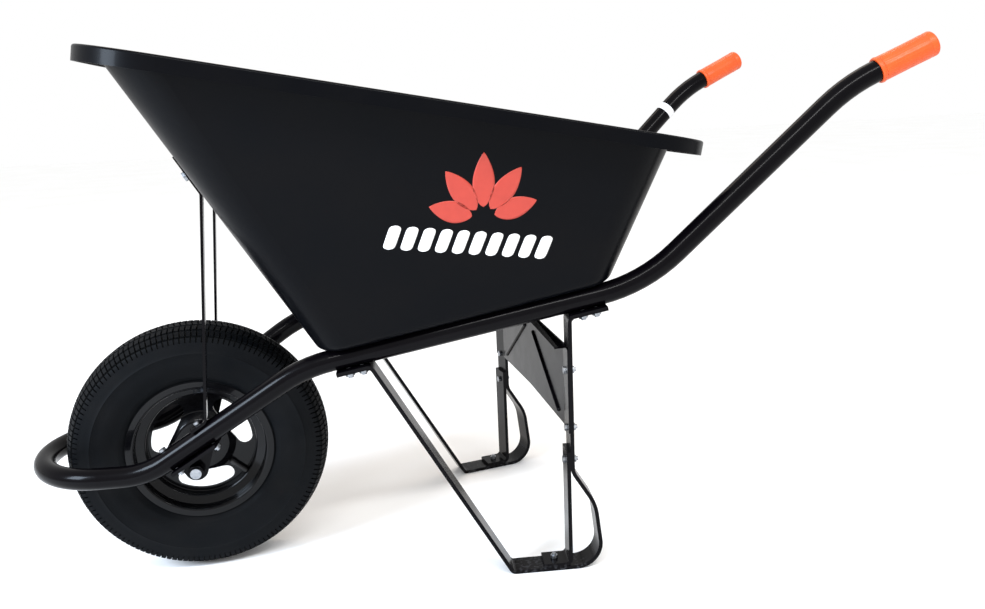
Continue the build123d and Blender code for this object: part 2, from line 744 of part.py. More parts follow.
def brace_tab(side, outside):
    """Ends of a brace's upper tab, along the front wall of the tray, as (X, Z)."""
    beside = brace_plane(side).origin.Y
    wall = []
    for height in (BRACE_HEIGHT, BRACE_HEIGHT + BRACE_TAB):
        level = Axis((-2 * TYRE_RADIUS, beside, TYRE_RADIUS + height), (1, 0, 0))
        hits = [point for point, _ in outside.find_intersection_points(level)]
        wall.append(min(hits, key=lambda point: point.X))
    low, high = wall
    angle = atan2(high.Z - low.Z, low.X - high.X)
    gap = BRACE_STANDOFF + BRACE_SHEET / 2
    shift = (-gap * sin(angle), -gap * cos(angle))
    return [(point.X + shift[0], point.Z + shift[1]) for point in wall]


def brace_bolt_plane(side, outside):
    """Head seat on the front of a brace's upper tab, facing away from the tray."""
    low, high = brace_tab(side, outside)
    angle = atan2(high[1] - low[1], low[0] - high[0])
    away = Vector(-sin(angle), 0, -cos(angle))
    middle = Vector((low[0] + high[0]) / 2, brace_plane(side).origin.Y, (low[1] + high[1]) / 2)
    return Plane(origin=middle + away * (BRACE_SHEET / 2), x_dir=(0, 1, 0), z_dir=away)


def make_brace(side, outside):
    """Flat bar from the rail by the axle up to a tab on the tray's front wall."""
    over_rail = TUBE_RADIUS + SEAT + BRACE_SHEET / 2
    points = [
        rail_offset(BRACKET_REAR_BOLT - BRACE_WIDTH / 2, over_rail),
        rail_offset(BRACE_HEEL, over_rail),
        *brace_tab(side, outside),
    ]
    body = bar(brace_plane(side), points, [BEND_RADIUS] * 2, BRACE_WIDTH, BRACE_SHEET)
    body = drilled(body, bracket_bolt_planes(side)[1:], M6, TUBE_DIAMETER)
    return drilled(body, [brace_bolt_plane(side, outside)], M8, 4 * BAR)


# ---------------------------------------------------------------- the whole barrow
def make_fasteners(outside):
    """Bolts and nuts of every bolted joint, one node for each kind in each place."""
    groups = {"tray": [], "bracket": [], "brace": [], "panel": [], "lap": []}
    foot_bolts, foot_nuts = [], []
    tray_grip = TRAY_WALL + TUBE_DIAMETER + BAR + 3 * SEAT
    front_grip = TUBE_DIAMETER + BRACKET_SHEET + 2 * SEAT
    rear_grip = front_grip + BRACE_SHEET + 3 * SEAT
    brace_grip = BRACE_SHEET + BRACE_STANDOFF + TRAY_WALL + SEAT
    for side in SIDES.values():
        front, rear = bracket_bolt_planes(side)
        groups["tray"] += [(plane, tray_grip) for plane in tray_bolt_planes(side)]
        groups["bracket"] += [(front, front_grip), (rear, rear_grip)]
        groups["brace"].append((brace_bolt_plane(side, outside), brace_grip))
        groups["panel"] += [(plane, PANEL_SHEET + BAR) for plane in panel_bolt_planes(side)]
        groups["lap"].append((lap_bolt_plane(side), 2 * BAR))
        screw, screw_nut = foot_bolt(side)
        foot_bolts.append(screw)
        foot_nuts.append(screw_nut)
    parts = {"foot_bolts": foot_bolts, "foot_nuts": foot_nuts}
    for name, fasteners in groups.items():
        size = M8 if name in ("tray", "brace") else M6
        domed = name == "tray"
        parts[name + "_bolts"] = [bolt(plane, grip, size, domed) for plane, grip in fasteners]
        parts[name + "_nuts"] = [nut(plane, grip, size) for plane, grip in fasteners]
    return parts


def make_parts():
    """Every piece under its node name, drawn about the axle's station."""
    outside = tub(0)
    outer_races, inner_races, balls = make_bearings()
    stem, cap = make_valve()
    washers, axle_nuts = make_axle_hardware()
    parts = {
        "tyre": make_tyre(),
        "inner_tube": make_inner_tube(),
        "wheel_rim": make_rim(),
        "hub_shell": make_hub(),
        "bearing_outer_races": outer_races,
        "bearing_inner_races": inner_races,
        "bearing_balls": balls,
        "valve_stem": stem,
        "valve_cap": cap,
        "axle": make_axle(),
        "axle_spacers": make_spacers(),
        "axle_washers": washers,
        "axle_nuts": axle_nuts,
        "frame_tube": make_frame_tube(),
        "tray": make_tray(outside),
        "leg_panel": make_panel(),
    }
    for name, side in SIDES.items():
        parts["grip_" + name] = make_grip(side)
        parts["leg_" + name] = make_leg(side)
        parts["leg_strut_" + name] = make_strut(side)
        parts["axle_bracket_" + name] = make_bracket(side)
        parts["tray_brace_" + name] = make_brace(side, outside)
    parts.update(make_fasteners(outside))
    return parts


def solids_of(body):
    """Flat list of the solids in a shape or a list of shapes."""
    if isinstance(body, list):
        return [solid for item in body for solid in item.solids()]
    return list(body.solids())


def main():
    """Build every piece, move the whole to its origin, and write one file for each node."""
    os.makedirs("parts", exist_ok=True)
    parts = {name: solids_of(body) for name, body in make_parts().items()}
    box = Compound(children=[solid for solids in parts.values() for solid in solids]).bounding_box()
    shift = Location((-(box.min.X + box.max.X) / 2, 0, 0))
    for name, solids in parts.items():
        export_step(Compound(children=[shift * solid for solid in solids]), "parts/" + name + ".step")
    print("overall size", box.size.X, box.size.Y, box.size.Z, "shift", shift.position.X)


main()
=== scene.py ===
"""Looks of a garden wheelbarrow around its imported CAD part.

A gloss black bent-tube frame carries a deep moulded tray and one pneumatic wheel with a knobbly
tyre; the handles end in orange sleeves. Lengths are in metres, with +Z up and +X from the wheel to
the handles. New pieces are surfaces worked out on numpy grids; the other CAD nodes keep their
meshes and only get their finishes here.
"""

import logging
import math
from dataclasses import dataclass, field
from enum import Enum
from typing import Any, Iterable, Mapping, Sequence

import bmesh
import bpy
import numpy as np
from mathutils import Matrix, Vector


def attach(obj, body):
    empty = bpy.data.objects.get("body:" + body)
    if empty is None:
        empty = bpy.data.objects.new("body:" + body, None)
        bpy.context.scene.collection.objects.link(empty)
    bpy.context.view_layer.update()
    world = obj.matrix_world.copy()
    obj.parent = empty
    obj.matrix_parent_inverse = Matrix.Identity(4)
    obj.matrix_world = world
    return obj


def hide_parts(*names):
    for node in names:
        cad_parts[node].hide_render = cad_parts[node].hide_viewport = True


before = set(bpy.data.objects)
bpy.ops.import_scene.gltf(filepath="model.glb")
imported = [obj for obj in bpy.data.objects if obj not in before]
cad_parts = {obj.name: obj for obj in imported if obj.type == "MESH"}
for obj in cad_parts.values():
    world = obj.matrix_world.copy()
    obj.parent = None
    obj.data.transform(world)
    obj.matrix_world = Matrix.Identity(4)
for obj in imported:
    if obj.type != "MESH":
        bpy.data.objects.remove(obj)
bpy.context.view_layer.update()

Object = bpy.types.Object
Socket = bpy.types.NodeSocket
Tree = bpy.types.NodeTree
Pair = tuple[float, float]
Point = tuple[float, float, float]

log = logging.getLogger("wheelbarrow")
MM = 0.001
# Points nearer than the first of these are one point, and edges shorter than the second none.
SAME_POINT = 1e-6
NO_LENGTH = 1e-7

# ---- Places shared with the CAD part, in metres ----
# RAIL_POINTS gives a side rail's corners: the run from the axle, and the height off the ground.
AXLE = np.array([-0.422549, 0.0, 0.2])
TRACK_HALF = 0.129
SPLAY = math.radians(8.11)
RAIL_POINTS = ((-0.071, 0.203), (0.172, 0.352), (0.674, 0.445), (0.974, 0.717), (1.093, 0.769))
TUBE_RADIUS = 0.016


class Side(Enum):
    """The two sides of the barrow, by the sign of Y."""

    LEFT = -1
    RIGHT = 1


class Body(Enum):
    """The CAD bodies that pieces ride on."""

    BARROW = "barrow"
    WHEEL = "wheel"


# ---------------------------------------- materials
def linear(hex_colour: str) -> tuple[float, float, float, float]:
    """Turn an sRGB hex colour into linear RGBA.

    Args:
        hex_colour: Colour written as "#rrggbb".

    Returns:
        Linear red, green and blue, and an alpha of 1.
    """
    channels = np.array([int(hex_colour[i : i + 2], 16) for i in (1, 3, 5)]) / 255
    low = channels / 12.92
    high = ((channels + 0.055) / 1.055) ** 2.4
    red, green, blue = np.where(channels <= 0.04045, low, high)
    return float(red), float(green), float(blue), 1.0


def add_node(
    tree: Tree, kind: str, inputs: Mapping[str | int, Any] | None = None, **settings: Any
) -> bpy.types.Node:
    """Add a shader node with its settings, its socket values and its links.

    Args:
        tree: Node tree to add to.
        kind: Blender's name of the node type.
        inputs: Value or output socket for each input socket.
        **settings: Properties of the node.

    Returns:
        The new node.
    """
    node = tree.nodes.new(kind)
    for name, value in settings.items():
        setattr(node, name, value)
    for name, value in (inputs or {}).items():
        if isinstance(value, Socket):
            tree.links.new(value, node.inputs[name])
        else:
            node.inputs[name].default_value = value
    return node


# Octaves of finer noise in a finish, and the part of the noise's range that it is spread over.
MOTTLE_DETAIL = 4
MOTTLE_RANGE = (0.35, 0.7)
GLOSS_DETAIL = 5
GLOSS_RANGE = (0.3, 0.7)
GRAIN_DETAIL = 2


@dataclass(frozen=True)
class Finish:
    """A surface finish with mottled colour, uneven gloss and a fine relief.

    Sizes are real ones in millimetres; a grain finer than about 1.5 mm doesn't show at the
    camera's distance, so finer ones are drawn that coarse.

    Attributes:
        name: Name of the material.
        colour: Main colour, as sRGB hex.
        shade: Second colour, which the broad patches go to.
        roughness: Middle of the roughness.
        spread: How far the roughness goes to each side of its middle.
        mottle_mm: Width of the patches of colour.
        grain_mm: Width of the relief's grains.
        relief_mm: Height of the relief.
        metallic: 1 for bare metal, 0 for the rest.
        coat: Weight of the clear top layer.
        coat_roughness: Roughness of that layer.
        specular: Strength of the reflection of a non-metal.
    """

    name: str
    colour: str
    shade: str
    roughness: float
    spread: float
    mottle_mm: float
    grain_mm: float
    relief_mm: float
    metallic: float = 0.0
    coat: float = 0.0
    coat_roughness: float = 0.1
    specular: float = 0.5

    def places(self, tree: Tree) -> Socket:
        """Coordinates that the finish is laid out on.

        Args:
            tree: Node tree of the material.

        Returns:
            Object coordinates, in metres.
        """
        return add_node(tree, "ShaderNodeTexCoord").outputs["Object"]

    def noise(self, tree: Tree, places: Socket, size_mm: float, detail: float) -> Socket:
        """Noise whose patches are about a size across.

        Args:
            tree: Node tree of the material.
            places: Coordinates in metres.
            size_mm: Width of a patch.
            detail: Octaves of finer noise on top.

        Returns:
            The noise value from 0 to 1.
        """
        inputs = {"Vector": places, "Scale": 1 / (size_mm * MM), "Detail": detail}
        return add_node(tree, "ShaderNodeTexNoise", inputs).outputs["Fac"]

    def mixed(self, tree: Tree, factor: Socket, first: Any, second: Any) -> Socket:
        """Mix two colours.

        Args:
            tree: Node tree of the material.
            factor: Share of the second colour.
            first: First colour, as RGBA or as a socket.
            second: Second colour.

        Returns:
            The mixed colour.
        """
        inputs = {0: factor, 6: first, 7: second}
        return add_node(tree, "ShaderNodeMix", inputs, data_type="RGBA").outputs[2]

    def ranged(self, tree: Tree, value: Socket, source: Pair, target: Pair) -> Socket:
        """Carry a value from one range to another and clamp it there.

        Args:
            tree: Node tree of the material.
            value: The value.
            source: Its range.
            target: The range that it is carried to.

        Returns:
            The new value.
        """
        inputs = {"Value": value, 1: source[0], 2: source[1], 3: target[0], 4: target[1]}
        return add_node(tree, "ShaderNodeMapRange", inputs).outputs["Result"]

    def calculated(self, tree: Tree, operation: str, first: Any, second: Any) -> Socket:
        """Work out a value from two others.

        Args:
            tree: Node tree of the material.
            operation: Blender's name of the operation.
            first: First value, as a number or as a socket.
            second: Second value.

        Returns:
            The result.
        """
        inputs = {0: first, 1: second}
        return add_node(tree, "ShaderNodeMath", inputs, operation=operation).outputs[0]

    def colours(self, tree: Tree, places: Socket) -> Socket:
        """Base colour: broad patches between the colour and its shade.

        Args:
            tree: Node tree of the material.
            places: Coordinates in metres.

        Returns:
            The colour.
        """
        noise = self.noise(tree, places, self.mottle_mm, MOTTLE_DETAIL)
        patches = self.ranged(tree, noise, MOTTLE_RANGE, (0, 1))
        return self.mixed(tree, patches, linear(self.colour), linear(self.shade))

    def height(self, tree: Tree, places: Socket) -> Socket:
        """Relief of the surface.

        Args:
            tree: Node tree of the material.
            places: Coordinates in metres.

        Returns:
            The height, from 0 to 1.
        """
        return self.noise(tree, places, self.grain_mm, GRAIN_DETAIL)

    def material(self) -> bpy.types.Material:
        """Build the material once, and give the same one again later.

        Returns:
            The material.
        """
        found = bpy.data.materials.get(self.name)
        if found:
            return found
        material = bpy.data.materials.new(self.name)
        material.use_nodes = True
        tree = material.node_tree
        tree.nodes.clear()
        places = self.places(tree)
        gloss_noise = self.noise(tree, places, self.mottle_mm / 2, GLOSS_DETAIL)
        low, high = self.roughness - self.spread, self.roughness + self.spread
        height = self.height(tree, places)
        relief = {"Strength": 1.0, "Distance": self.relief_mm * MM, "Height": height}
        shader = add_node(
            tree,
            "ShaderNodeBsdfPrincipled",
            {
                "Base Color": self.colours(tree, places),
                "Roughness": self.ranged(tree, gloss_noise, GLOSS_RANGE, (low, high)),
                "Metallic": self.metallic,
                "Coat Weight": self.coat,
                "Coat Roughness": self.coat_roughness,
                "Specular IOR Level": self.specular,
                "Normal": add_node(tree, "ShaderNodeBump", relief).outputs["Normal"],
            },
        )
        add_node(tree, "ShaderNodeOutputMaterial", {"Surface": shader.outputs["BSDF"]})
        return material


@dataclass(frozen=True)
class PowderCoat(Finish):
    """Baked powder paint with a soft orange peel, rubbed grey where the feet meet the ground.

    Attributes:
        rubbed: Colour of the rubbed places.
        rubbed_height: Height above the ground where the rubbing ends.
        full_height: Height below which it is full.
        scuff_mm: Width of a scuff.
        scuff_depth: Most that a scuff takes of the rubbed colour.
    """

    rubbed: str = "#55565a"
    rubbed_height: float = 0.012
    full_height: float = 0.001
    scuff_mm: float = 6
    scuff_depth: float = 0.35

    def colours(self, tree: Tree, places: Socket) -> Socket:
        """Paint colour, with scuffs of primer that fade out above the ground.

        Args:
            tree: Node tree of the material.
            places: Coordinates in metres.

        Returns:
            The colour.
        """
        paint = super().colours(tree, places)
        split = add_node(tree, "ShaderNodeSeparateXYZ", {"Vector": places})
        fade = (self.rubbed_height, self.full_height)
        near_ground = self.ranged(tree, split.outputs["Z"], fade, (0, 1))
        noise = self.noise(tree, places, self.scuff_mm, 6)
        scuffs = self.ranged(tree, noise, (0.5, 0.62), (0, self.scuff_depth))
        worn = self.calculated(tree, "MULTIPLY", near_ground, scuffs)
        return self.mixed(tree, worn, paint, linear(self.rubbed))


@dataclass(frozen=True)
class TyreRubber(Finish):
    """Vulcanised rubber, with a grey bloom of dust in the tread's grooves.

    Attributes:
        dust: Colour of the dust.
        dust_mm: Width of its patches.
        attribute: Attribute of the mesh that says how deep a point lies in a groove.
    """

    dust: str = "#121211"
    dust_mm: float = 14
    attribute: str = "groove"

    def colours(self, tree: Tree, places: Socket) -> Socket:
        """Rubber colour, dusted by the mesh's groove attribute.

        Args:
            tree: Node tree of the material.
            places: Coordinates in metres.

        Returns:
            The colour.
        """
        rubber = super().colours(tree, places)
        groove = add_node(tree, "ShaderNodeAttribute", attribute_name=self.attribute)
        noise = self.noise(tree, places, self.dust_mm, 4)
        patchy = self.ranged(tree, noise, (0.3, 0.7), (0.2, 0.8))
        dusty = self.calculated(tree, "MULTIPLY", groove.outputs["Fac"], patchy)
        return self.mixed(tree, dusty, rubber, linear(self.dust))


@dataclass(frozen=True)
class MouldedPlastic(Finish):
    """Moulded plastic: a fine spark texture over long, faint flow marks.

    Attributes:
        flow_mm: Length of the flow marks.
    """

    flow_mm: float = 90.0

    def height(self, tree: Tree, places: Socket) -> Socket:
        """Spark texture with the slow swell of the flow added.

        Args:
            tree: Node tree of the material.
            places: Coordinates in metres.

        Returns:
            The height: the spark from 0 to 1, and twice the swell.
        """
        spark = self.noise(tree, places, self.grain_mm, 3)
        swell = self.noise(tree, places, self.flow_mm, 1)
        return self.calculated(tree, "ADD", spark, self.calculated(tree, "MULTIPLY", swell, 2.0))


# Powder-coated mild steel: deep black, with a thin bright line along each tube.
FRAME_PAINT = PowderCoat(
    "powder_coated_steel_gloss_black", "#040305", "#060507", 0.22, 0.04, 60, 3.0, 0.003,
    coat=0.06, coat_roughness=0.05, specular=0.05,
)
# Sprayed and baked enamel on pressed steel: the shiniest black, as on wheel rims.
RIM_ENAMEL = PowderCoat(
    "baked_enamel_steel_black", "#050507", "#080809", 0.22, 0.04, 40, 3.0, 0.003,
    coat=0.22, coat_roughness=0.04, specular=0.07,
)
# Carbon-black polypropylene, injection moulded: a dark satin skin with a broad, faint sheen.
TRAY_PLASTIC = MouldedPlastic(
    "moulded_polypropylene_black", "#040508", "#070709", 0.34, 0.05, 120, 2.0, 0.012,
    coat=0.04, coat_roughness=0.12, specular=0.04,
)
# Carbon-filled natural rubber, vulcanised in a mould: dull, and a little blue on the sidewalls.
TYRE_RUBBER = TyreRubber(
    "vulcanised_tyre_rubber", "#05070a", "#0a0b0d", 0.58, 0.08, 30, 2.0, 0.03, specular=0.08,
)
# Plain black rubber of the valve stem: duller and greyer than the paint round it.
VALVE_RUBBER = Finish(
    "moulded_rubber_black", "#111112", "#18181a", 0.6, 0.06, 10, 1.5, 0.02,
)
# Pigmented PVC sleeve, dip-moulded: an even bright orange with a soft skin.
GRIP_PVC = MouldedPlastic(
    "dip_moulded_pvc_orange", "#d4521d", "#ca4c19", 0.4, 0.06, 25, 1.8, 0.008,
    coat=0.08, coat_roughness=0.3, specular=0.3, flow_mm=30,
)
# Zinc plating on steel: grey, slightly cloudy metal with patchy gloss.
ZINC_PLATE = Finish(
    "zinc_plated_steel", "#9fa2a6", "#84888e", 0.35, 0.1, 5, 1.5, 0.02, metallic=1.0,
)
# Ground and polished bearing steel under a film of grease.
BEARING_STEEL = Finish(
    "ground_bearing_steel", "#b8babd", "#8d8f93", 0.18, 0.06, 4, 1.5, 0.008,
    metallic=1.0, coat=0.3,
)
# Black polyethylene of the valve cap: a small, waxy highlight.
CAP_PLASTIC = Finish("moulded_polyethylene_black", "#141415", "#1a1a1c", 0.45, 0.05, 8, 1.5, 0.01)
# Butyl air tube, hidden in the tyre: flat grey-black.
TUBE_RUBBER = Finish("extruded_butyl_rubber", "#1a1a1a", "#222222", 0.65, 0.05, 20, 2.0, 0.01)
# Screen-printed vinyl film, brick orange: flat ink with a slight unevenness of the print.
PRINT_ORANGE = Finish(
    "screen_printed_vinyl_orange", "#ac3324", "#a63022", 0.42, 0.04, 12, 1.5, 0.004
)
# Screen-printed vinyl film, white: the same ink in the palest shade, so that it stands out.
PRINT_WHITE = Finish(
    "screen_printed_vinyl_white", "#eeedeb", "#e7e6e4", 0.42, 0.04, 12, 1.5, 0.004
)
# Paper label, wrapped and glued round the handle: dull white against the gloss of the tube.
LABEL_PAPER = Finish("glued_label_paper_white", "#dfe0e2", "#cfd0d3", 0.6, 0.05, 6, 1.5, 0.01)
# Painted studio floor: pale, matt, with the faintest unevenness.
FLOOR_PAINT = Finish("matt_studio_floor_paint", "#ffffff", "#fcfcfb", 0.9, 0.05, 400, 8, 0.02)


# ---------------------------------------- meshes
def arc(
    start: Sequence[float], middle: Sequence[float], end: Sequence[float], shares: np.ndarray
) -> np.ndarray:
    """Points on the circle through three points, at shares of the turn from start to end.

    The centre solves |p - start|^2 = |p - middle|^2 = |p - end|^2; each point is the centre plus
    the radius at an angle that goes evenly from start to end by way of the middle.

    Args:
        start: First point of the arc, in two dimensions.
        middle: A point on the way.
        end: Last point.
        shares: Shares of the arc, from 0 to 1.

    Returns:
        One two-dimensional point for each share.
    """
    a, b, c = (np.asarray(point, float) for point in (start, middle, end))
    system = 2 * np.array([b - a, c - a])
    centre = np.linalg.solve(system, [b @ b - a @ a, c @ c - a @ a])
    angles = np.unwrap([math.atan2(*(point - centre)[::-1]) for point in (a, b, c)])
    turn = angles[0] + (angles[2] - angles[0]) * shares
    return centre + np.linalg.norm(a - centre) * np.stack([np.cos(turn), np.sin(turn)], -1)


def grid_faces(rows: int, columns: int, ring_rows: bool, ring_columns: bool) -> np.ndarray:
    """Quads of a grid of points, joined round where it is a ring.

    Args:
        rows: Number of rows of points.
        columns: Number of columns of points.
        ring_rows: Whether the last row joins the first.
        ring_columns: Whether the last column joins the first.

    Returns:
        Four point numbers for each quad.
    """
    row, column = np.meshgrid(
        np.arange(rows if ring_rows else rows - 1),
        np.arange(columns if ring_columns else columns - 1),
        indexing="ij",
    )
    below, beside = (row + 1) % rows, (column + 1) % columns
    corners = [row * columns + column, row * columns + beside]
    corners += [below * columns + beside, below * columns + column]
    return np.stack(corners, -1).reshape(-1, 4)


@dataclass
class Surface:
    """A grid of points that becomes a mesh object.

    Attributes:
        name: Name of the piece.
        points: Array of rows by columns by three coordinates, in metres.
        ring_rows: Whether the rows close into a ring.
        ring_columns: Whether the columns close into a ring.
        marks: Values for each point, by attribute name.
    """

    name: str
    points: np.ndarray
    ring_rows: bool = False
    ring_columns: bool = False
    marks: dict[str, np.ndarray] = field(default_factory=dict)

    def build(self, finish: Finish, closed: bool = True, smooth_degrees: float = 40) -> Object:
        """Make the mesh object.

        Args:
            finish: Finish of the whole piece.
            closed: Whether it is a closed shell, whose poles are merged and whose faces are
                turned outwards.
            smooth_degrees: Edges sharper than this stay sharp.

        Returns:
            The new object, at the origin.
        """
        rows, columns = self.points.shape[:2]
        faces = grid_faces(rows, columns, self.ring_rows, self.ring_columns)
        mesh = bpy.data.meshes.new(self.name)
        mesh.vertices.add(rows * columns)
        mesh.vertices.foreach_set("co", self.points.reshape(-1).astype(np.float32))
        mesh.loops.add(faces.size)
        mesh.loops.foreach_set("vertex_index", faces.reshape(-1).astype(np.int32))
        mesh.polygons.add(len(faces))
        mesh.polygons.foreach_set("loop_start", np.arange(0, faces.size, 4, dtype=np.int32))
        mesh.update(calc_edges=True)
        for name, values in self.marks.items():
            layer = mesh.attributes.new(name, "FLOAT", "POINT")
            layer.data.foreach_set("value", values.reshape(-1).astype(np.float32))
        if closed:
            tidy_shell(mesh)
        mesh.materials.append(finish.material())
        mesh.shade_smooth()
        mesh.set_sharp_from_angle(angle=math.radians(smooth_degrees))
        piece = bpy.data.objects.new(self.name, mesh)
        bpy.context.scene.collection.objects.link(piece)
        return piece


def tidy_shell(mesh: bpy.types.Mesh) -> None:
    """Merge the doubled points of a closed shell and turn its faces outwards.

    Args:
        mesh: Mesh of one or more closed shells.
    """
    work = bmesh.new()
    work.from_mesh(mesh)
    bmesh.ops.remove_doubles(work, verts=work.verts, dist=SAME_POINT)
    bmesh.ops.dissolve_degenerate(work, edges=work.edges, dist=NO_LENGTH)
    bmesh.ops.recalc_face_normals(work, faces=work.faces)
    work.to_mesh(mesh)
    work.free()


def joined(name: str, pieces: Sequence[Object]) -> Object:
    """Join mesh objects of one finish into one piece.

    Args:
        name: Name of the joined piece.
        pieces: Objects at the origin; they are used up.

    Returns:
        The joined object.
    """
    work = bmesh.new()
    for piece in pieces:
        work.from_mesh(piece.data)
    first = pieces[0]
    work.to_mesh(first.data)
    work.free()
    for piece in pieces[1:]:
        bpy.data.objects.remove(piece)
    first.name = name
    first.data.name = name
    return first


def set_in_mesh(piece: Object) -> None:
    """Put a piece's modifiers into its mesh.

    Args:
        piece: The piece.
    """
    graph = bpy.context.evaluated_depsgraph_get()
    mesh = bpy.data.meshes.new_from_object(piece.evaluated_get(graph))
    piece.modifiers.clear()
    piece.data = mesh


def turned(
    profile: np.ndarray, origin: np.ndarray, axis: np.ndarray, angles: np.ndarray
) -> np.ndarray:
    """Turn a profile about an axis.

    Each point is origin + axis * along + radius * (side * cos(angle) + other * sin(angle)).

    Args:
        profile: Points as (along, radius).
        origin: A point on the axis.
        axis: Direction of the axis.
        angles: Angles of the columns.

    Returns:
        A grid of profile points by angles.
    """
    axis = axis / np.linalg.norm(axis)
    side = np.cross(axis, [0.0, 0.0, 1.0] if abs(axis[2]) < 0.9 else [1.0, 0.0, 0.0])
    side /= np.linalg.norm(side)
    other = np.cross(axis, side)
    spokes = np.cos(angles)[:, None] * side + np.sin(angles)[:, None] * other
    along = profile[:, None, 0, None] * axis
    return origin + along + profile[:, None, 1, None] * spokes[None]


def even_angles(count: int) -> np.ndarray:
    """Space angles evenly round a full turn.

    Args:
        count: Number of angles.

    Returns:
        The angles, from 0 up to but without the full turn.
    """
    return np.arange(count) * math.tau / count


# ---------------------------------------- the wheel
@dataclass
class Tyre:
    """The knobbly tyre: a carcass section turned about the axle, with blocks left by sunk grooves.

    The block tops lie on the CAD carcass, so the tyre keeps its radius and its width.

    Attributes:
        radius: Radius over the blocks.
        half_width: Half the width at the widest place.
        shoulder: Where crown and sidewall meet, as (across, radius).
        bead_half_width: Half the width over the beads.
        heel_radius: Radius of the bead's outer edge.
        seat_radius: Radius where the bead sits on the rim.
        seat_chamfer: Size of the bead's chamfer.
        toe_half_width: Half the gap between the beads.
        widest_lift: How far the widest place lies above the middle of the sidewall.
        crown_wall: Thickness under the tread.
        side_wall: Thickness of the sidewall.
        shoulder_wall: Drop from the shoulder to the lining.
        lugs: Cross grooves round the tyre.
        rows_of_blocks: Rows of blocks across the crown.
        groove_depth: Depth of the grooves.
        groove_share: Share of a block's pitch that its groove takes.
        floor_share: Share of half a groove that is its flat floor.
        slant: How far the cross grooves lean, in pitches.
        leans: How often the lean turns over the crown, in periods.
        wall_dust: Share of the dust that the plain sidewall takes.
    """

    radius: float = 0.200
    half_width: float = 0.050
    shoulder: Pair = (0.044, 0.187)
    bead_half_width: float = 0.0341
    heel_radius: float = 0.113
    seat_radius: float = 0.10265
    seat_chamfer: float = 0.004
    toe_half_width: float = 0.0221
    widest_lift: float = 0.006
    crown_wall: float = 0.011
    side_wall: float = 0.008
    shoulder_wall: float = 0.007
    lugs: int = 140
    rows_of_blocks: int = 6
    groove_depth: float = 0.0038
    groove_share: float = 0.28
    floor_share: float = 0.55
    slant: float = 0.75
    leans: float = 3.5
    wall_dust: float = 0.15

    def groove_steps(self, count: int) -> tuple[np.ndarray, np.ndarray]:
        """Grid stations that follow the walls of a row of grooves.

        Args:
            count: Number of cells, each with half a groove at both ends.

        Returns:
            Stations from 0 to 1, and for each one how deep it lies, from 0 to 1.
        """
        half = self.groove_share / 2
        flat = half * self.floor_share
        cell = np.array([0.0, flat, half, 1 - half, 1 - flat])
        depth = np.array([1.0, 1.0, 0.0, 0.0, 1.0])
        stations = (np.arange(count)[:, None] + cell).ravel() / count
        return stations, np.tile(depth, count)

    def section(self) -> tuple[np.ndarray, np.ndarray, np.ndarray]:
        """Closed section of the tyre, from the left bead over the crown and back inside.

        Returns:
            Points as (across, radius), how deep the tread may be cut at each one, and how deep
            the circumferential groove is there.
        """
        side, top = self.shoulder
        widest = (top + self.heel_radius) / 2 + self.widest_lift
        cells, cell_depth = self.groove_steps(self.rows_of_blocks)
        cells, cell_depth = np.append(cells, 1.0), np.append(cell_depth, 1.0)
        crown = arc((-side, top), (0, self.radius), (side, top), cells)
        # Stations down the sidewall. The cross grooves run out just below the shoulder; then come
        # two bands a little under the surface, with a proud rib between them and one below.
        down = np.array([0.02, 0.05, 0.1, 0.12, 0.18, 0.25, 0.3, 0.32, 0.34, 0.36, 0.5, 0.6, 0.7])
        down = np.append(down, [0.8, 0.84, 0.87, 0.9, 0.95, 1.0])
        cut_below = np.interp(down, [0.0, 0.1, 0.12, 1.0], [1.0, 0.7, 0.0, 0.0])
        sunk = np.interp(down, [0.1, 0.13, 0.31, 0.33, 0.34, 0.36], [0, 0.25, 0.25, 0.0, 0.0, 0.24])
        sunk = sunk * np.interp(down, [0.8, 0.85, 0.88, 0.95], [1.0, 0.0, 0.0, 0.6])
        right = arc(
            (side, top), (self.half_width, widest), (self.bead_half_width, self.heel_radius), down
        )
        bead = np.array(
            [
                (self.bead_half_width, self.seat_radius + self.seat_chamfer),
                (self.bead_half_width - self.seat_chamfer, self.seat_radius),
                (self.toe_half_width, self.seat_radius),
                (self.toe_half_width, self.heel_radius),
            ]
        )
        inner_top = (side - self.side_wall, top - self.shoulder_wall)
        inner = arc(
            (self.toe_half_width, self.heel_radius),
            (self.half_width - self.side_wall, widest),
            inner_top,
            np.linspace(0.12, 1, 8),
        )
        lining = arc(
            inner_top, (0, self.radius - self.crown_wall), (-inner_top[0], inner_top[1]),
            np.linspace(0, 1, 9)[1:-1],
        )
        flip = np.array([-1.0, 1.0])
        left, left_bead, left_inner = right[::-1] * flip, bead[::-1] * flip, inner[::-1] * flip
        parts = [left, crown, right, bead, inner, lining, left_inner, left_bead]
        plain = np.zeros(len(bead) + len(inner) + len(lining) + len(inner) + len(bead))
        tread = np.concatenate([cut_below[::-1], np.ones(len(crown)), cut_below, plain])
        ring = np.concatenate([sunk[::-1], cell_depth, sunk, plain])
        return np.concatenate(parts), tread, ring

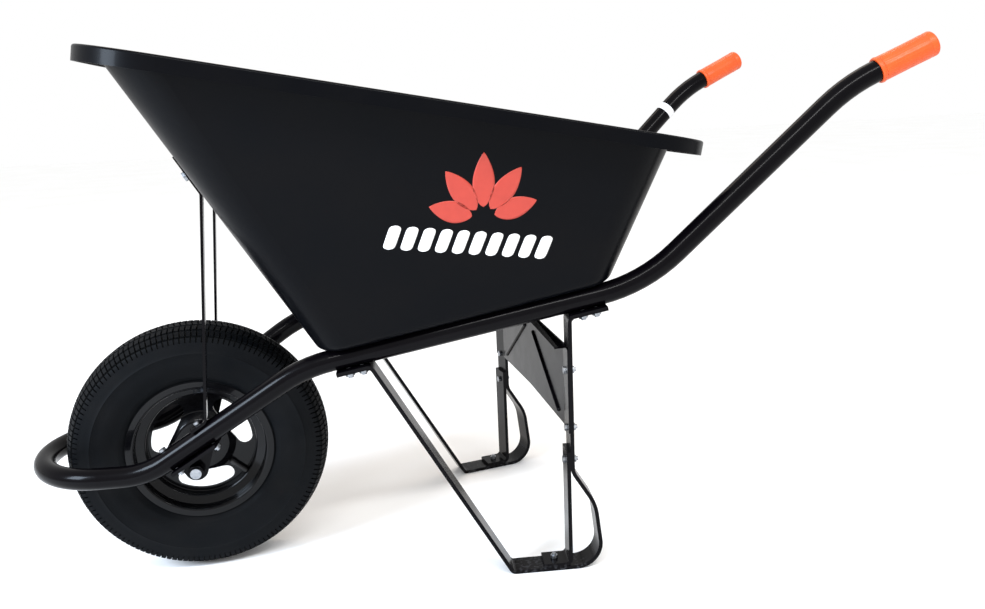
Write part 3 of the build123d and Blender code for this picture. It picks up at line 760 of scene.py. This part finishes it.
    def build(self) -> Object:
        """Turn the section about the axle and sink the grooves along its inward normals.

        A point's depth is groove_depth * max(ring groove, cross groove * tread mask). The cross
        grooves slant one way and then the other from row to row: each column's angle is moved by
        slant * pitch times a triangle wave of the distance across.

        Returns:
            The tyre.
        """
        section, tread, ring = self.section()
        stations, cross = self.groove_steps(self.lugs)
        rim = np.roll(section, -1, 0) - np.roll(section, 1, 0)
        normal = np.stack([rim[:, 1], -rim[:, 0]], -1)
        normal /= np.linalg.norm(normal, axis=1, keepdims=True)
        cut = np.maximum(ring[:, None], cross[None] * tread[:, None])
        depth = cut * self.groove_depth
        across = section[:, None, 0] + normal[:, None, 0] * depth
        radius = section[:, None, 1] + normal[:, None, 1] * depth
        wave = np.abs(np.mod(section[:, 0] / (2 * self.shoulder[0]) * self.leans, 1.0) - 0.5)
        angle = math.tau * (stations[None] + wave[:, None] * self.slant / self.lugs)
        x, z = AXLE[0] + radius * np.cos(angle), AXLE[2] + radius * np.sin(angle)
        points = np.stack([x, AXLE[1] + across, z], -1)
        outside = np.where(tread[:, None] > 0, cut, self.wall_dust * cut)
        surface = Surface("tyre_tread", points, True, True, {"groove": outside})
        return surface.build(TYRE_RUBBER, smooth_degrees=35)


@dataclass
class Wheel:
    """The pneumatic wheel: new tyre and weld seams, and finishes for the rim, hub and bearings.

    Attributes:
        tyre: The tyre.
        disc_middle: Place of the disc's middle plane across the wheel.
        weld_radius: Radius of the seam's centre line.
        weld_offset: Distance of the seam from the disc's middle plane.
        weld_bead: Largest radius of the bead.
        weld_ripple: Share of the bead's radius that the ripples take.
        weld_ripples: Ripples round the seam.
    """

    tyre: Tyre = field(default_factory=Tyre)
    disc_middle: float = 0.001
    weld_radius: float = 0.0843
    weld_offset: float = 0.0026
    weld_bead: float = 0.0016
    weld_ripple: float = 0.2
    weld_ripples: int = 150

    def weld(self, side: Side) -> Object:
        """Weld seam between the disc and the barrel of the rim.

        It is a ring about a circle of the weld radius. The radius of its section is the bead's
        times (1 - ripple + ripple * |sin(ripples * angle / 2)|).

        Args:
            side: Face of the disc that the seam is on.

        Returns:
            The seam.
        """
        angle = even_angles(self.weld_ripples * 4)[:, None]
        turn = even_angles(8)[None]
        swell = self.weld_ripple * np.abs(np.sin(self.weld_ripples * angle / 2))
        bead = self.weld_bead * (1 - self.weld_ripple + swell)
        radius = self.weld_radius + bead * np.cos(turn)
        across = self.disc_middle + side.value * self.weld_offset + bead * np.sin(turn)
        x, z = AXLE[0] + radius * np.cos(angle), AXLE[2] + radius * np.sin(angle)
        points = np.stack(np.broadcast_arrays(x, across, z), -1)
        return Surface("weld_seam", points, True, True).build(RIM_ENAMEL)

    def build(self) -> None:
        """Make the wheel's new pieces and dress its CAD nodes."""
        tread = self.tyre.build()
        place(tread, Body.WHEEL, replaces=["tyre"])
        seams = joined("rim_weld_seams", [self.weld(side) for side in Side])
        place(seams, Body.WHEEL)
        dress(["wheel_rim", "hub_shell"], RIM_ENAMEL)
        dress(["bearing_outer_races", "bearing_inner_races", "bearing_balls"], BEARING_STEEL)
        dress(["inner_tube"], TUBE_RUBBER)
        dress(["valve_stem"], VALVE_RUBBER)
        dress(["valve_cap"], CAP_PLASTIC)


# ---------------------------------------- the handles
@dataclass
class Rail:
    """Centre line of one side rail, as the CAD part bends it.

    Attributes:
        side: Side that the rail is on.
    """

    side: Side

    def place(self, run: np.ndarray, height: np.ndarray) -> np.ndarray:
        """Find points of the rail's upright plane.

        Args:
            run: Runs along the plane, from the axle.
            height: Heights off the ground.

        Returns:
            Points as (x, y, z).
        """
        x = AXLE[0] + run * math.cos(SPLAY)
        y = self.side.value * (TRACK_HALF + run * math.sin(SPLAY))
        return np.stack([x, y, height], -1)

    def straight(self, corner: int, back: np.ndarray) -> np.ndarray:
        """Points on the straight run up to one corner.

        Args:
            corner: Number of the corner in RAIL_POINTS.
            back: Distances back from the corner.

        Returns:
            Points as (run, height).
        """
        before, here = (np.array(RAIL_POINTS[corner + step]) for step in (-1, 0))
        inwards = (here - before) / np.linalg.norm(here - before)
        return here - back[:, None] * inwards

    def end(self) -> tuple[np.ndarray, np.ndarray]:
        """Find the end of the handle.

        Returns:
            The end, and its direction outwards.
        """
        last, previous = (np.array(RAIL_POINTS[index]) for index in (-1, -2))
        tip = self.place(last[0], last[1])
        direction = tip - self.place(previous[0], previous[1])
        return tip, direction / np.linalg.norm(direction)


@dataclass
class Grip:
    """Dip-moulded sleeve with a rolled mouth, moulded rings and a rounded closed end.

    Attributes:
        side: Side that the grip is on.
        gap: Clearance round the tube and beyond its end.
        wall: Thickness of the sleeve.
        length: Length of tube that it covers.
        end_wall: How far it reaches past the tube's end.
        roll: Height of the roll at its mouth.
        columns: Columns of points round it.
        ribs: Ribs round it.
        rib_height: Depth of the hollows between the ribs.
    """

    side: Side
    gap: float = 0.00005
    wall: float = 0.0026
    length: float = 0.085
    end_wall: float = 0.0049
    roll: float = 0.00075
    columns: int = 144
    ribs: int = 24
    rib_height: float = 0.0002

    def profile(self) -> np.ndarray:
        """Draw the section of the sleeve: its end, two rings, its body and its rolled mouth.

        Returns:
            Points as (along, radius), from the outer pole to the inner one.
        """
        bore = TUBE_RADIUS + self.gap
        outer = bore + self.wall
        mouth = -self.length
        shares = np.linspace(0, 1, 9)
        dome = arc(
            (self.end_wall - 0.0001, outer - 0.0042),
            (self.end_wall - 0.0013, outer - 0.0011),
            (self.end_wall - 0.0046, outer - 0.0001),
            shares,
        )
        face = np.array(
            [(self.end_wall - 0.0009, 0.0), (self.end_wall - 0.0009, 0.0052)]
            + [(self.end_wall - 0.0003, 0.0062), (self.end_wall - 0.0001, 0.009)]
        )
        body = np.array(
            [(-0.004, outer), (-0.0055, outer - 0.0007), (-0.007, outer - 0.0007), (-0.0085, outer)]
            + [(-0.02, outer - 0.0002), (-0.04, outer - 0.0003), (-0.06, outer - 0.0002)]
            + [(mouth + 0.0085, outer - 0.0001), (mouth + 0.0072, outer - 0.0008)]
        )
        rolled = arc(
            (mouth + 0.0062, outer - 0.0002),
            (mouth + 0.0031, outer + self.roll),
            (mouth, outer - 0.0004),
            shares,
        )
        inside = np.array([(mouth, bore), (-0.03, bore), (self.gap, bore), (self.gap, 0)])
        return np.concatenate([face, dome, body, rolled, inside])

    def build(self) -> Object:
        """Turn the profile about the handle, with shallow lengthwise ribs on the body.

        The hollows take rib_height * (1 - cos(ribs * angle)) / 2 off the radius between the rings.

        Returns:
            The grip.
        """
        tip, direction = Rail(self.side).end()
        profile = self.profile()
        angles = even_angles(self.columns)
        points = turned(profile, tip, direction, angles)
        ribbed = (profile[:, 0] < -0.0084) & (profile[:, 0] > -self.length + 0.008)
        ribbed &= profile[:, 1] > TUBE_RADIUS + self.wall / 4
        dip = self.rib_height * (1 - np.cos(self.ribs * angles)) / 2
        centre = tip + profile[:, None, 0, None] * direction
        spoke = points - centre
        radius = np.linalg.norm(spoke, axis=-1, keepdims=True)
        scale = 1 - ribbed[:, None, None] * dip[None, :, None] / np.maximum(radius, SAME_POINT)
        name = "grip_sleeve_" + self.side.name.lower()
        return Surface(name, centre + spoke * scale, False, True).build(GRIP_PVC, smooth_degrees=50)


@dataclass
class HandleLabel:
    """Blank white label glued round one handle, below the last bend before its grip.

    Attributes:
        side: Side that the label is on.
        corner: Number of the rail's corner that it lies below.
        span: Distances of its edges from that corner.
        film: Thickness of the paper over the tube.
        glue: Height of the paper's inner face over the tube.
    """

    side: Side = Side.RIGHT
    corner: int = 3
    span: Pair = (0.066, 0.052)
    film: float = 0.0003
    glue: float = 0.000075

    def build(self) -> Object:
        """Carry a thin ring section along the rail's straight run.

        Each point is the centre line's point plus (tube radius + film) * (up * cos + beside * sin)
        of its angle, with up square to the line in the upright plane.

        Returns:
            The label.
        """
        rail = Rail(self.side)
        line = rail.straight(self.corner, np.linspace(*self.span, 5))
        centre = rail.place(line[:, 0], line[:, 1])
        along = np.gradient(centre, axis=0)
        along /= np.linalg.norm(along, axis=1, keepdims=True)
        beside = np.array([-math.sin(SPLAY) * self.side.value, math.cos(SPLAY), 0.0])
        up = np.cross(along, beside)
        angle = even_angles(48)
        layers = []
        rise, reach = np.cos(angle)[None, :, None], np.sin(angle)[None, :, None]
        for height in (self.film, self.glue):
            spoke = rise * up[:, None] + reach * beside
            layers.append(centre[:, None] + (TUBE_RADIUS + height) * spoke)
        points = np.concatenate([layers[0], layers[1][::-1]])
        return Surface("handle_label", points, True, True).build(LABEL_PAPER)


@dataclass
class Frame:
    """The tube frame with its grips, legs, brackets and fasteners."""

    painted: tuple[str, ...] = (
        "frame_tube", "leg_left", "leg_right", "leg_strut_left", "leg_strut_right", "leg_panel",
        "axle_bracket_left", "axle_bracket_right", "tray_brace_left", "tray_brace_right",
        "axle_nuts", "axle_washers",
    )
    plated: tuple[str, ...] = (
        "axle", "axle_spacers", "brace_bolts", "brace_nuts",
        "bracket_bolts", "bracket_nuts", "foot_bolts", "foot_nuts", "lap_bolts", "lap_nuts",
        "panel_bolts", "panel_nuts", "tray_bolts", "tray_nuts",
    )

    def build(self) -> None:
        """Make the grips and the label, and dress the steel parts."""
        for side in Side:
            name = side.name.lower()
            place(Grip(side).build(), Body.BARROW, replaces=["grip_" + name])
        place(HandleLabel().build(), Body.BARROW)
        dress(self.painted, FRAME_PAINT)
        dress(self.plated, ZINC_PLATE)


# ---------------------------------------- the tray
@dataclass
class Emblem:
    """Generic printed mark on a tray wall: a fan of plain leaves over a row of plain blocks.

    Places are (X from the axle, height), as seen on the wall from outside.

    Attributes:
        side: Side of the tray.
        root: Place that the leaves fan out from.
        leaf_length: Length of the upright leaf.
        leaf_width: Width of a leaf.
        leaf_leans: Lean of each leaf, in degrees.
        leaf_gap: Distance of a leaf from the root.
        block_centre: Middle of the row of blocks.
        block_size: Width and height of a block.
        blocks: Number of blocks.
        block_pitch: Distance from block to block.
        block_slope: Slope of the row.
        block_slant: Lean of a block, as across over up.
        film: Thickness of the ink.
        film_lift: Height of the ink's middle over the wall.
        press_from: Distance from the barrow's middle that the ink is pressed from.
    """

    side: Side
    root: Pair = (0.424, 0.563)
    leaf_length: float = 0.074
    leaf_width: float = 0.03
    leaf_leans: tuple[float, ...] = (-74, -37, 0, 37, 74)
    leaf_gap: float = 0.016
    block_centre: Pair = (0.405, 0.53)
    block_size: Pair = (0.0165, 0.034)
    blocks: int = 10
    block_pitch: float = 0.0235
    block_slope: float = math.radians(-8)
    block_slant: float = 0.22
    film: float = 0.00012
    film_lift: float = 0.00018
    press_from: float = 0.34

    def leaf(self, lean_degrees: float) -> Object:
        """Print one leaf: width * sin(pi * t ** 0.85) ** 0.8 across, at a share t of its length.

        Leaning leaves are shorter, and each starts a gap away from the common root.

        Args:
            lean_degrees: Lean away from upright.

        Returns:
            The leaf, printed on the wall.
        """
        lean = math.radians(lean_degrees)
        length = self.leaf_length * (0.8 + 0.2 * math.cos(lean) ** 2)
        along = np.linspace(0.0, 1.0, 29)[:, None]
        across = np.linspace(-0.5, 0.5, 11)[None]
        width = self.leaf_width * np.maximum(np.sin(math.pi * along**0.85), 0.004) ** 0.8
        beside, up = across * width, self.leaf_gap + along * length + 0 * across
        x = self.root[0] + beside * math.cos(lean) + up * math.sin(lean)
        z = self.root[1] - beside * math.sin(lean) + up * math.cos(lean)
        return self.printed("leaf", x, z, PRINT_ORANGE)

    def block(self, number: int) -> Object:
        """Print one slanted block of the row, with rounded ends.

        Its half width is width / 2 * sqrt(1 - u ** 8) at a share u of its half height, and the
        row runs down along the mark's slope.

        Args:
            number: Place in the row.

        Returns:
            The block, printed on the wall.
        """
        width, height = self.block_size
        share = np.linspace(-1.0, 1.0, 25)[:, None]
        across = np.linspace(-0.5, 0.5, 7)[None]
        half = np.sqrt(np.maximum(1 - share**8, 0.05))
        lift = share * height / 2 + 0 * across
        start = (number - (self.blocks - 1) / 2) * self.block_pitch
        along = start + across * width * half + self.block_slant * lift
        slope = self.block_slope
        x = self.block_centre[0] + along * math.cos(slope) - lift * math.sin(slope)
        z = self.block_centre[1] + along * math.sin(slope) + lift * math.cos(slope)
        return self.printed("block", x, z, PRINT_WHITE)

    def printed(self, name: str, x: np.ndarray, z: np.ndarray, ink: Finish) -> Object:
        """Press a flat grid onto the tray's outer wall as a thin film.

        Args:
            name: Name of the shape.
            x: X of the grid's points, from the axle.
            z: Heights of the grid's points.
            ink: Finish of the film.

        Returns:
            The film.
        """
        y = np.full_like(x, self.side.value * self.press_from)
        points = np.stack([AXLE[0] + x, y, z], -1)
        if self.side is Side.LEFT:
            points = points[::-1]
        piece = Surface(name, points).build(ink, closed=False)
        wrap = piece.modifiers.new("press", "SHRINKWRAP")
        wrap.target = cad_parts["tray"]
        wrap.wrap_method = "PROJECT"
        wrap.use_project_y = True
        wrap.use_negative_direction = True
        wrap.use_positive_direction = True
        wrap.offset = self.film_lift
        film = piece.modifiers.new("film", "SOLIDIFY")
        film.thickness = self.film
        film.offset = 0
        set_in_mesh(piece)
        return piece

    def build(self) -> None:
        """Print the leaves and the blocks and put them on the barrow."""
        side = self.side.name.lower()
        leaves = [self.leaf(lean) for lean in self.leaf_leans]
        place(joined("emblem_leaves_" + side, leaves), Body.BARROW)
        blocks = [self.block(number) for number in range(self.blocks)]
        place(joined("emblem_blocks_" + side, blocks), Body.BARROW)


@dataclass
class Tray:
    """The moulded tray with its printed marks.

    Attributes:
        marked: Sides that carry a mark.
    """

    marked: tuple[Side, ...] = (Side.LEFT, Side.RIGHT)

    def build(self) -> None:
        """Dress the tray and print its marks."""
        for side in self.marked:
            Emblem(side).build()
        dress(["tray"], TRAY_PLASTIC)


# ---------------------------------------- dressing
def dress(nodes: Iterable[str], finish: Finish) -> None:
    """Give CAD nodes a finish in place of their plain one.

    Args:
        nodes: Names of the CAD nodes.
        finish: Finish they take.
    """
    for name in nodes:
        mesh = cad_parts[name].data
        mesh.materials.clear()
        mesh.materials.append(finish.material())
        log.info("dressed %s in %s", name, finish.name)


def place(
    piece: Object, body: Body, replaces: Sequence[str] = ()
) -> None:
    """Put a finished piece on its body.

    Args:
        piece: The new piece.
        body: Body that it rides on.
        replaces: CAD nodes that it stands for.
    """
    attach(piece, body.value)
    if replaces:
        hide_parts(*replaces)
    log.info("placed %s on %s, %d faces", piece.name, body.value, len(piece.data.polygons))


# ---------------------------------------- the studio
@dataclass(frozen=True)
class Softbox:
    """A rectangular studio light that looks at a point.

    Attributes:
        name: Name of the light.
        position: Its middle.
        target: Point that it looks at.
        size: Its width and height.
        watts: Its power.
        colour: Its colour, as sRGB hex.
    """

    name: str
    position: Point
    target: Point
    size: Pair
    watts: float
    colour: str = "#ffffff"

    def build(self) -> None:
        """Add the light."""
        light = bpy.data.lights.new(self.name, "AREA")
        light.shape = "RECTANGLE"
        light.size, light.size_y = self.size
        light.energy = self.watts
        light.color = linear(self.colour)[:3]
        lamp = bpy.data.objects.new(self.name, light)
        bpy.context.scene.collection.objects.link(lamp)
        aim = Vector(self.target) - Vector(self.position)
        turn = aim.to_track_quat("-Z", "Y").to_matrix().to_4x4()
        lamp.matrix_world = Matrix.Translation(self.position) @ turn
        log.info("light %s, %.0f W", self.name, self.watts)


@dataclass
class Studio:
    """Pale floor, soft lights and the camera.

    Attributes:
        eye: Place of the camera, with its X counted from the axle.
        heading: Turn of its view from +Y to +X, in radians.
        dip: How far it looks down.
        roll: Turn of the picture about the line of sight.
        lens_mm: Focal length on a sensor 36 mm wide.
        floor_half: Half the floor's width.
        floor_drop: How far the floor lies under the wheel and the feet.
        sky: Colour of the sky.
        sky_strength: Strength of the sky.
        lights: The softboxes.
    """

    eye: Point = (0.1626, -1.4152, 0.7302)
    heading: float = 0.22725881
    dip: float = 0.23653281
    roll: float = -0.04315022
    lens_mm: float = 32.339
    floor_half: float = 12.0
    floor_drop: float = 0.0004
    sky: str = "#ffffff"
    sky_strength: float = 1.0
    lights: tuple[Softbox, ...] = (
        Softbox("front_strip", (0.1, -1.5, 1.9), (0, 0, 0.4), (2.4, 0.14), 34),
        Softbox("rear_strip", (0.2, 1.3, 2.2), (0, 0, 0.4), (2.4, 0.5), 14, "#ffe9d2"),
        Softbox("left_front", (-2.1, -1.0, 1.35), (-0.3, -0.2, 0.6), (0.7, 0.9), 75, "#dcecff"),
    )

    def camera(self) -> None:
        """Add the camera: its axes come from its heading, its dip and its roll."""
        east, north = math.sin(self.heading), math.cos(self.heading)
        ahead = math.cos(self.dip)
        forward = Vector((east * ahead, north * ahead, -math.sin(self.dip)))
        level = Vector((north, -east, 0))
        over = level.cross(forward)
        right = math.cos(self.roll) * level + math.sin(self.roll) * over
        up = math.cos(self.roll) * over - math.sin(self.roll) * level
        turn = Matrix((right, up, -forward)).transposed().to_4x4()
        lens = bpy.data.cameras.new("camera")
        lens.sensor_fit = "HORIZONTAL"
        lens.lens = self.lens_mm
        lens.dof.use_dof = False
        camera = bpy.data.objects.new("camera", lens)
        bpy.context.scene.collection.objects.link(camera)
        eye = Vector((AXLE[0] + self.eye[0], self.eye[1], self.eye[2]))
        camera.matrix_world = Matrix.Translation(eye) @ turn
        bpy.context.scene.camera = camera

    def floor(self) -> None:
        """Add the floor as a coarse grid, a hair below the wheel and the feet."""
        steps = np.linspace(-self.floor_half, self.floor_half, 9)
        x, y = np.meshgrid(steps, steps, indexing="ij")
        points = np.stack([x, y, np.full_like(x, -self.floor_drop)], -1)
        floor = Surface("floor", points).build(FLOOR_PAINT, closed=False)

    def sky_light(self) -> None:
        """Light everything evenly from a pale sky."""
        world = bpy.data.worlds.new("pale_studio")
        world.use_nodes = True
        tree = world.node_tree
        tree.nodes.clear()
        shade = {"Color": linear(self.sky), "Strength": self.sky_strength}
        background = add_node(tree, "ShaderNodeBackground", shade)
        add_node(tree, "ShaderNodeOutputWorld", {"Surface": background.outputs[0]})
        bpy.context.scene.world = world

    def build(self) -> None:
        """Set up the whole studio."""
        self.camera()
        self.floor()
        self.sky_light()
        for light in self.lights:
            light.build()
        bpy.context.scene.view_settings.view_transform = "Standard"


def main() -> None:
    """Build the studio and the barrow piece by piece."""
    logging.basicConfig(level=logging.INFO, format="%(name)s: %(message)s")
    Studio().build()
    Wheel().build()
    Frame().build()
    Tray().build()


if __name__ == "__main__":
    main()
